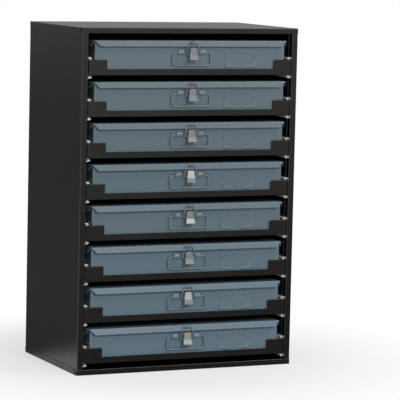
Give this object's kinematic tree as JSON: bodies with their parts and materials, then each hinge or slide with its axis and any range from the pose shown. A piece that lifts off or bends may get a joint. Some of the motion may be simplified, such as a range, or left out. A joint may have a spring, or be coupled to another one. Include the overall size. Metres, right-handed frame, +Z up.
{
  "type": "tall chest of drawers",
  "caption": "Tall sheet-steel bench cabinet with a column of pull-out trays, each carrying a lidded parts case with a draw latch and a wire carrying handle.",
  "frame": {"origin": "middle of the cabinet's footprint, on the surface it stands on", "axes": "+Z up, +X to the right seen from the front, +Y to the back; the drawers pull out along -Y"},
  "size_m": [0.5198, 0.3403, 0.7599],
  "materials": {
    "cabinet_paint": "satin black powder coat",
    "tray_paint": "satin black paint",
    "case_paint": "semi-gloss blue-grey enamel",
    "latch_steel": "bright plated steel",
    "handle_wire": "blue-grey enamelled wire",
    "slide_zinc": "bright zinc plate",
    "screw_steel": "plated steel"
  },
  "bodies": {
    "cabinet": {"left_side_panel": "cabinet_paint", "right_side_panel": "cabinet_paint", "top_panel": "cabinet_paint", "bottom_panel": "cabinet_paint", "back_panel": "cabinet_paint", "back_screws": "screw_steel", "slide_posts": "cabinet_paint", "left_outer_rails": "slide_zinc", "right_outer_rails": "slide_zinc", "rail_screws": "screw_steel"},
    "drawer_1": {"tray_1": "tray_paint", "case_1": "case_paint", "lid_1": "case_paint"},
    "lever_1": {"latch_lever_1": "latch_steel"},
    "bail_1": {"latch_bail_1": "latch_steel"},
    "handle_1": {"handle_1": "handle_wire"},
    "drawer_2": {"tray_2": "tray_paint", "case_2": "case_paint", "lid_2": "case_paint"},
    "lever_2": {"latch_lever_2": "latch_steel"},
    "bail_2": {"latch_bail_2": "latch_steel"},
    "handle_2": {"handle_2": "handle_wire"},
    "drawer_3": {"tray_3": "tray_paint", "case_3": "case_paint", "lid_3": "case_paint"},
    "lever_3": {"latch_lever_3": "latch_steel"},
    "bail_3": {"latch_bail_3": "latch_steel"},
    "handle_3": {"handle_3": "handle_wire"},
    "drawer_4": {"tray_4": "tray_paint", "case_4": "case_paint", "lid_4": "case_paint"},
    "lever_4": {"latch_lever_4": "latch_steel"},
    "bail_4": {"latch_bail_4": "latch_steel"},
    "handle_4": {"handle_4": "handle_wire"},
    "drawer_5": {"tray_5": "tray_paint", "case_5": "case_paint", "lid_5": "case_paint"},
    "lever_5": {"latch_lever_5": "latch_steel"},
    "bail_5": {"latch_bail_5": "latch_steel"},
    "handle_5": {"handle_5": "handle_wire"},
    "drawer_6": {"tray_6": "tray_paint", "case_6": "case_paint", "lid_6": "case_paint"},
    "lever_6": {"latch_lever_6": "latch_steel"},
    "bail_6": {"latch_bail_6": "latch_steel"},
    "handle_6": {"handle_6": "handle_wire"},
    "drawer_7": {"tray_7": "tray_paint", "case_7": "case_paint", "lid_7": "case_paint"},
    "lever_7": {"latch_lever_7": "latch_steel"},
    "bail_7": {"latch_bail_7": "latch_steel"},
    "handle_7": {"handle_7": "handle_wire"},
    "drawer_8": {"tray_8": "tray_paint", "case_8": "case_paint", "lid_8": "case_paint"},
    "lever_8": {"latch_lever_8": "latch_steel"},
    "bail_8": {"latch_bail_8": "latch_steel"},
    "handle_8": {"handle_8": "handle_wire"}
  },
  "joints": [
    {"name": "drawer_slide_1", "type": "slide", "parent": "cabinet", "child": "drawer_1", "axis": [0, -1, 0], "range_m": [0, 0.225]},
    {"name": "lever_hinge_1", "type": "hinge", "parent": "drawer_1", "child": "lever_1", "pos_m": [0, -0.1675, 0.7109], "axis": [-1, 0, 0], "range_deg": [0, 100]},
    {"name": "bail_hinge_1", "type": "hinge", "parent": "lever_1", "child": "bail_1", "pos_m": [0, -0.1689, 0.7024], "axis": [-1, 0, 0], "range_deg": [-80, 0]},
    {"name": "handle_hinge_1", "type": "hinge", "parent": "drawer_1", "child": "handle_1", "pos_m": [0, -0.1615, 0.7052], "axis": [-1, 0, 0], "range_deg": [0, 95]},
    {"name": "drawer_slide_2", "type": "slide", "parent": "cabinet", "child": "drawer_2", "axis": [0, -1, 0], "range_m": [0, 0.225]},
    {"name": "lever_hinge_2", "type": "hinge", "parent": "drawer_2", "child": "lever_2", "pos_m": [0, -0.1675, 0.6208], "axis": [-1, 0, 0], "range_deg": [0, 100]},
    {"name": "bail_hinge_2", "type": "hinge", "parent": "lever_2", "child": "bail_2", "pos_m": [0, -0.1689, 0.6123], "axis": [-1, 0, 0], "range_deg": [-80, 0]},
    {"name": "handle_hinge_2", "type": "hinge", "parent": "drawer_2", "child": "handle_2", "pos_m": [0, -0.1615, 0.6151], "axis": [-1, 0, 0], "range_deg": [0, 95]},
    {"name": "drawer_slide_3", "type": "slide", "parent": "cabinet", "child": "drawer_3", "axis": [0, -1, 0], "range_m": [0, 0.225]},
    {"name": "lever_hinge_3", "type": "hinge", "parent": "drawer_3", "child": "lever_3", "pos_m": [0, -0.1675, 0.5307], "axis": [-1, 0, 0], "range_deg": [0, 100]},
    {"name": "bail_hinge_3", "type": "hinge", "parent": "lever_3", "child": "bail_3", "pos_m": [0, -0.1689, 0.5222], "axis": [-1, 0, 0], "range_deg": [-80, 0]},
    {"name": "handle_hinge_3", "type": "hinge", "parent": "drawer_3", "child": "handle_3", "pos_m": [0, -0.1615, 0.525], "axis": [-1, 0, 0], "range_deg": [0, 95]},
    {"name": "drawer_slide_4", "type": "slide", "parent": "cabinet", "child": "drawer_4", "axis": [0, -1, 0], "range_m": [0, 0.225]},
    {"name": "lever_hinge_4", "type": "hinge", "parent": "drawer_4", "child": "lever_4", "pos_m": [0, -0.1675, 0.4406], "axis": [-1, 0, 0], "range_deg": [0, 100]},
    {"name": "bail_hinge_4", "type": "hinge", "parent": "lever_4", "child": "bail_4", "pos_m": [0, -0.1689, 0.4321], "axis": [-1, 0, 0], "range_deg": [-80, 0]},
    {"name": "handle_hinge_4", "type": "hinge", "parent": "drawer_4", "child": "handle_4", "pos_m": [0, -0.1615, 0.4349], "axis": [-1, 0, 0], "range_deg": [0, 95]},
    {"name": "drawer_slide_5", "type": "slide", "parent": "cabinet", "child": "drawer_5", "axis": [0, -1, 0], "range_m": [0, 0.225]},
    {"name": "lever_hinge_5", "type": "hinge", "parent": "drawer_5", "child": "lever_5", "pos_m": [0, -0.1675, 0.3505], "axis": [-1, 0, 0], "range_deg": [0, 100]},
    {"name": "bail_hinge_5", "type": "hinge", "parent": "lever_5", "child": "bail_5", "pos_m": [0, -0.1689, 0.342], "axis": [-1, 0, 0], "range_deg": [-80, 0]},
    {"name": "handle_hinge_5", "type": "hinge", "parent": "drawer_5", "child": "handle_5", "pos_m": [0, -0.1615, 0.3448], "axis": [-1, 0, 0], "range_deg": [0, 95]},
    {"name": "drawer_slide_6", "type": "slide", "parent": "cabinet", "child": "drawer_6", "axis": [0, -1, 0], "range_m": [0, 0.225]},
    {"name": "lever_hinge_6", "type": "hinge", "parent": "drawer_6", "child": "lever_6", "pos_m": [0, -0.1675, 0.2604], "axis": [-1, 0, 0], "range_deg": [0, 100]},
    {"name": "bail_hinge_6", "type": "hinge", "parent": "lever_6", "child": "bail_6", "pos_m": [0, -0.1689, 0.2519], "axis": [-1, 0, 0], "range_deg": [-80, 0]},
    {"name": "handle_hinge_6", "type": "hinge", "parent": "drawer_6", "child": "handle_6", "pos_m": [0, -0.1615, 0.2547], "axis": [-1, 0, 0], "range_deg": [0, 95]},
    {"name": "drawer_slide_7", "type": "slide", "parent": "cabinet", "child": "drawer_7", "axis": [0, -1, 0], "range_m": [0, 0.225]},
    {"name": "lever_hinge_7", "type": "hinge", "parent": "drawer_7", "child": "lever_7", "pos_m": [0, -0.1675, 0.1703], "axis": [-1, 0, 0], "range_deg": [0, 100]},
    {"name": "bail_hinge_7", "type": "hinge", "parent": "lever_7", "child": "bail_7", "pos_m": [0, -0.1689, 0.1618], "axis": [-1, 0, 0], "range_deg": [-80, 0]},
    {"name": "handle_hinge_7", "type": "hinge", "parent": "drawer_7", "child": "handle_7", "pos_m": [0, -0.1615, 0.1646], "axis": [-1, 0, 0], "range_deg": [0, 95]},
    {"name": "drawer_slide_8", "type": "slide", "parent": "cabinet", "child": "drawer_8", "axis": [0, -1, 0], "range_m": [0, 0.225]},
    {"name": "lever_hinge_8", "type": "hinge", "parent": "drawer_8", "child": "lever_8", "pos_m": [0, -0.1675, 0.0802], "axis": [-1, 0, 0], "range_deg": [0, 100]},
    {"name": "bail_hinge_8", "type": "hinge", "parent": "lever_8", "child": "bail_8", "pos_m": [0, -0.1689, 0.0717], "axis": [-1, 0, 0], "range_deg": [-80, 0]},
    {"name": "handle_hinge_8", "type": "hinge", "parent": "drawer_8", "child": "handle_8", "pos_m": [0, -0.1615, 0.0745], "axis": [-1, 0, 0], "range_deg": [0, 95]}
  ],
  "couplings": [
    {"joint": "bail_hinge_1", "follows": "lever_hinge_1", "ratio": -0.8},
    {"joint": "bail_hinge_2", "follows": "lever_hinge_2", "ratio": -0.8},
    {"joint": "bail_hinge_3", "follows": "lever_hinge_3", "ratio": -0.8},
    {"joint": "bail_hinge_4", "follows": "lever_hinge_4", "ratio": -0.8},
    {"joint": "bail_hinge_5", "follows": "lever_hinge_5", "ratio": -0.8},
    {"joint": "bail_hinge_6", "follows": "lever_hinge_6", "ratio": -0.8},
    {"joint": "bail_hinge_7", "follows": "lever_hinge_7", "ratio": -0.8},
    {"joint": "bail_hinge_8", "follows": "lever_hinge_8", "ratio": -0.8}
  ]
}
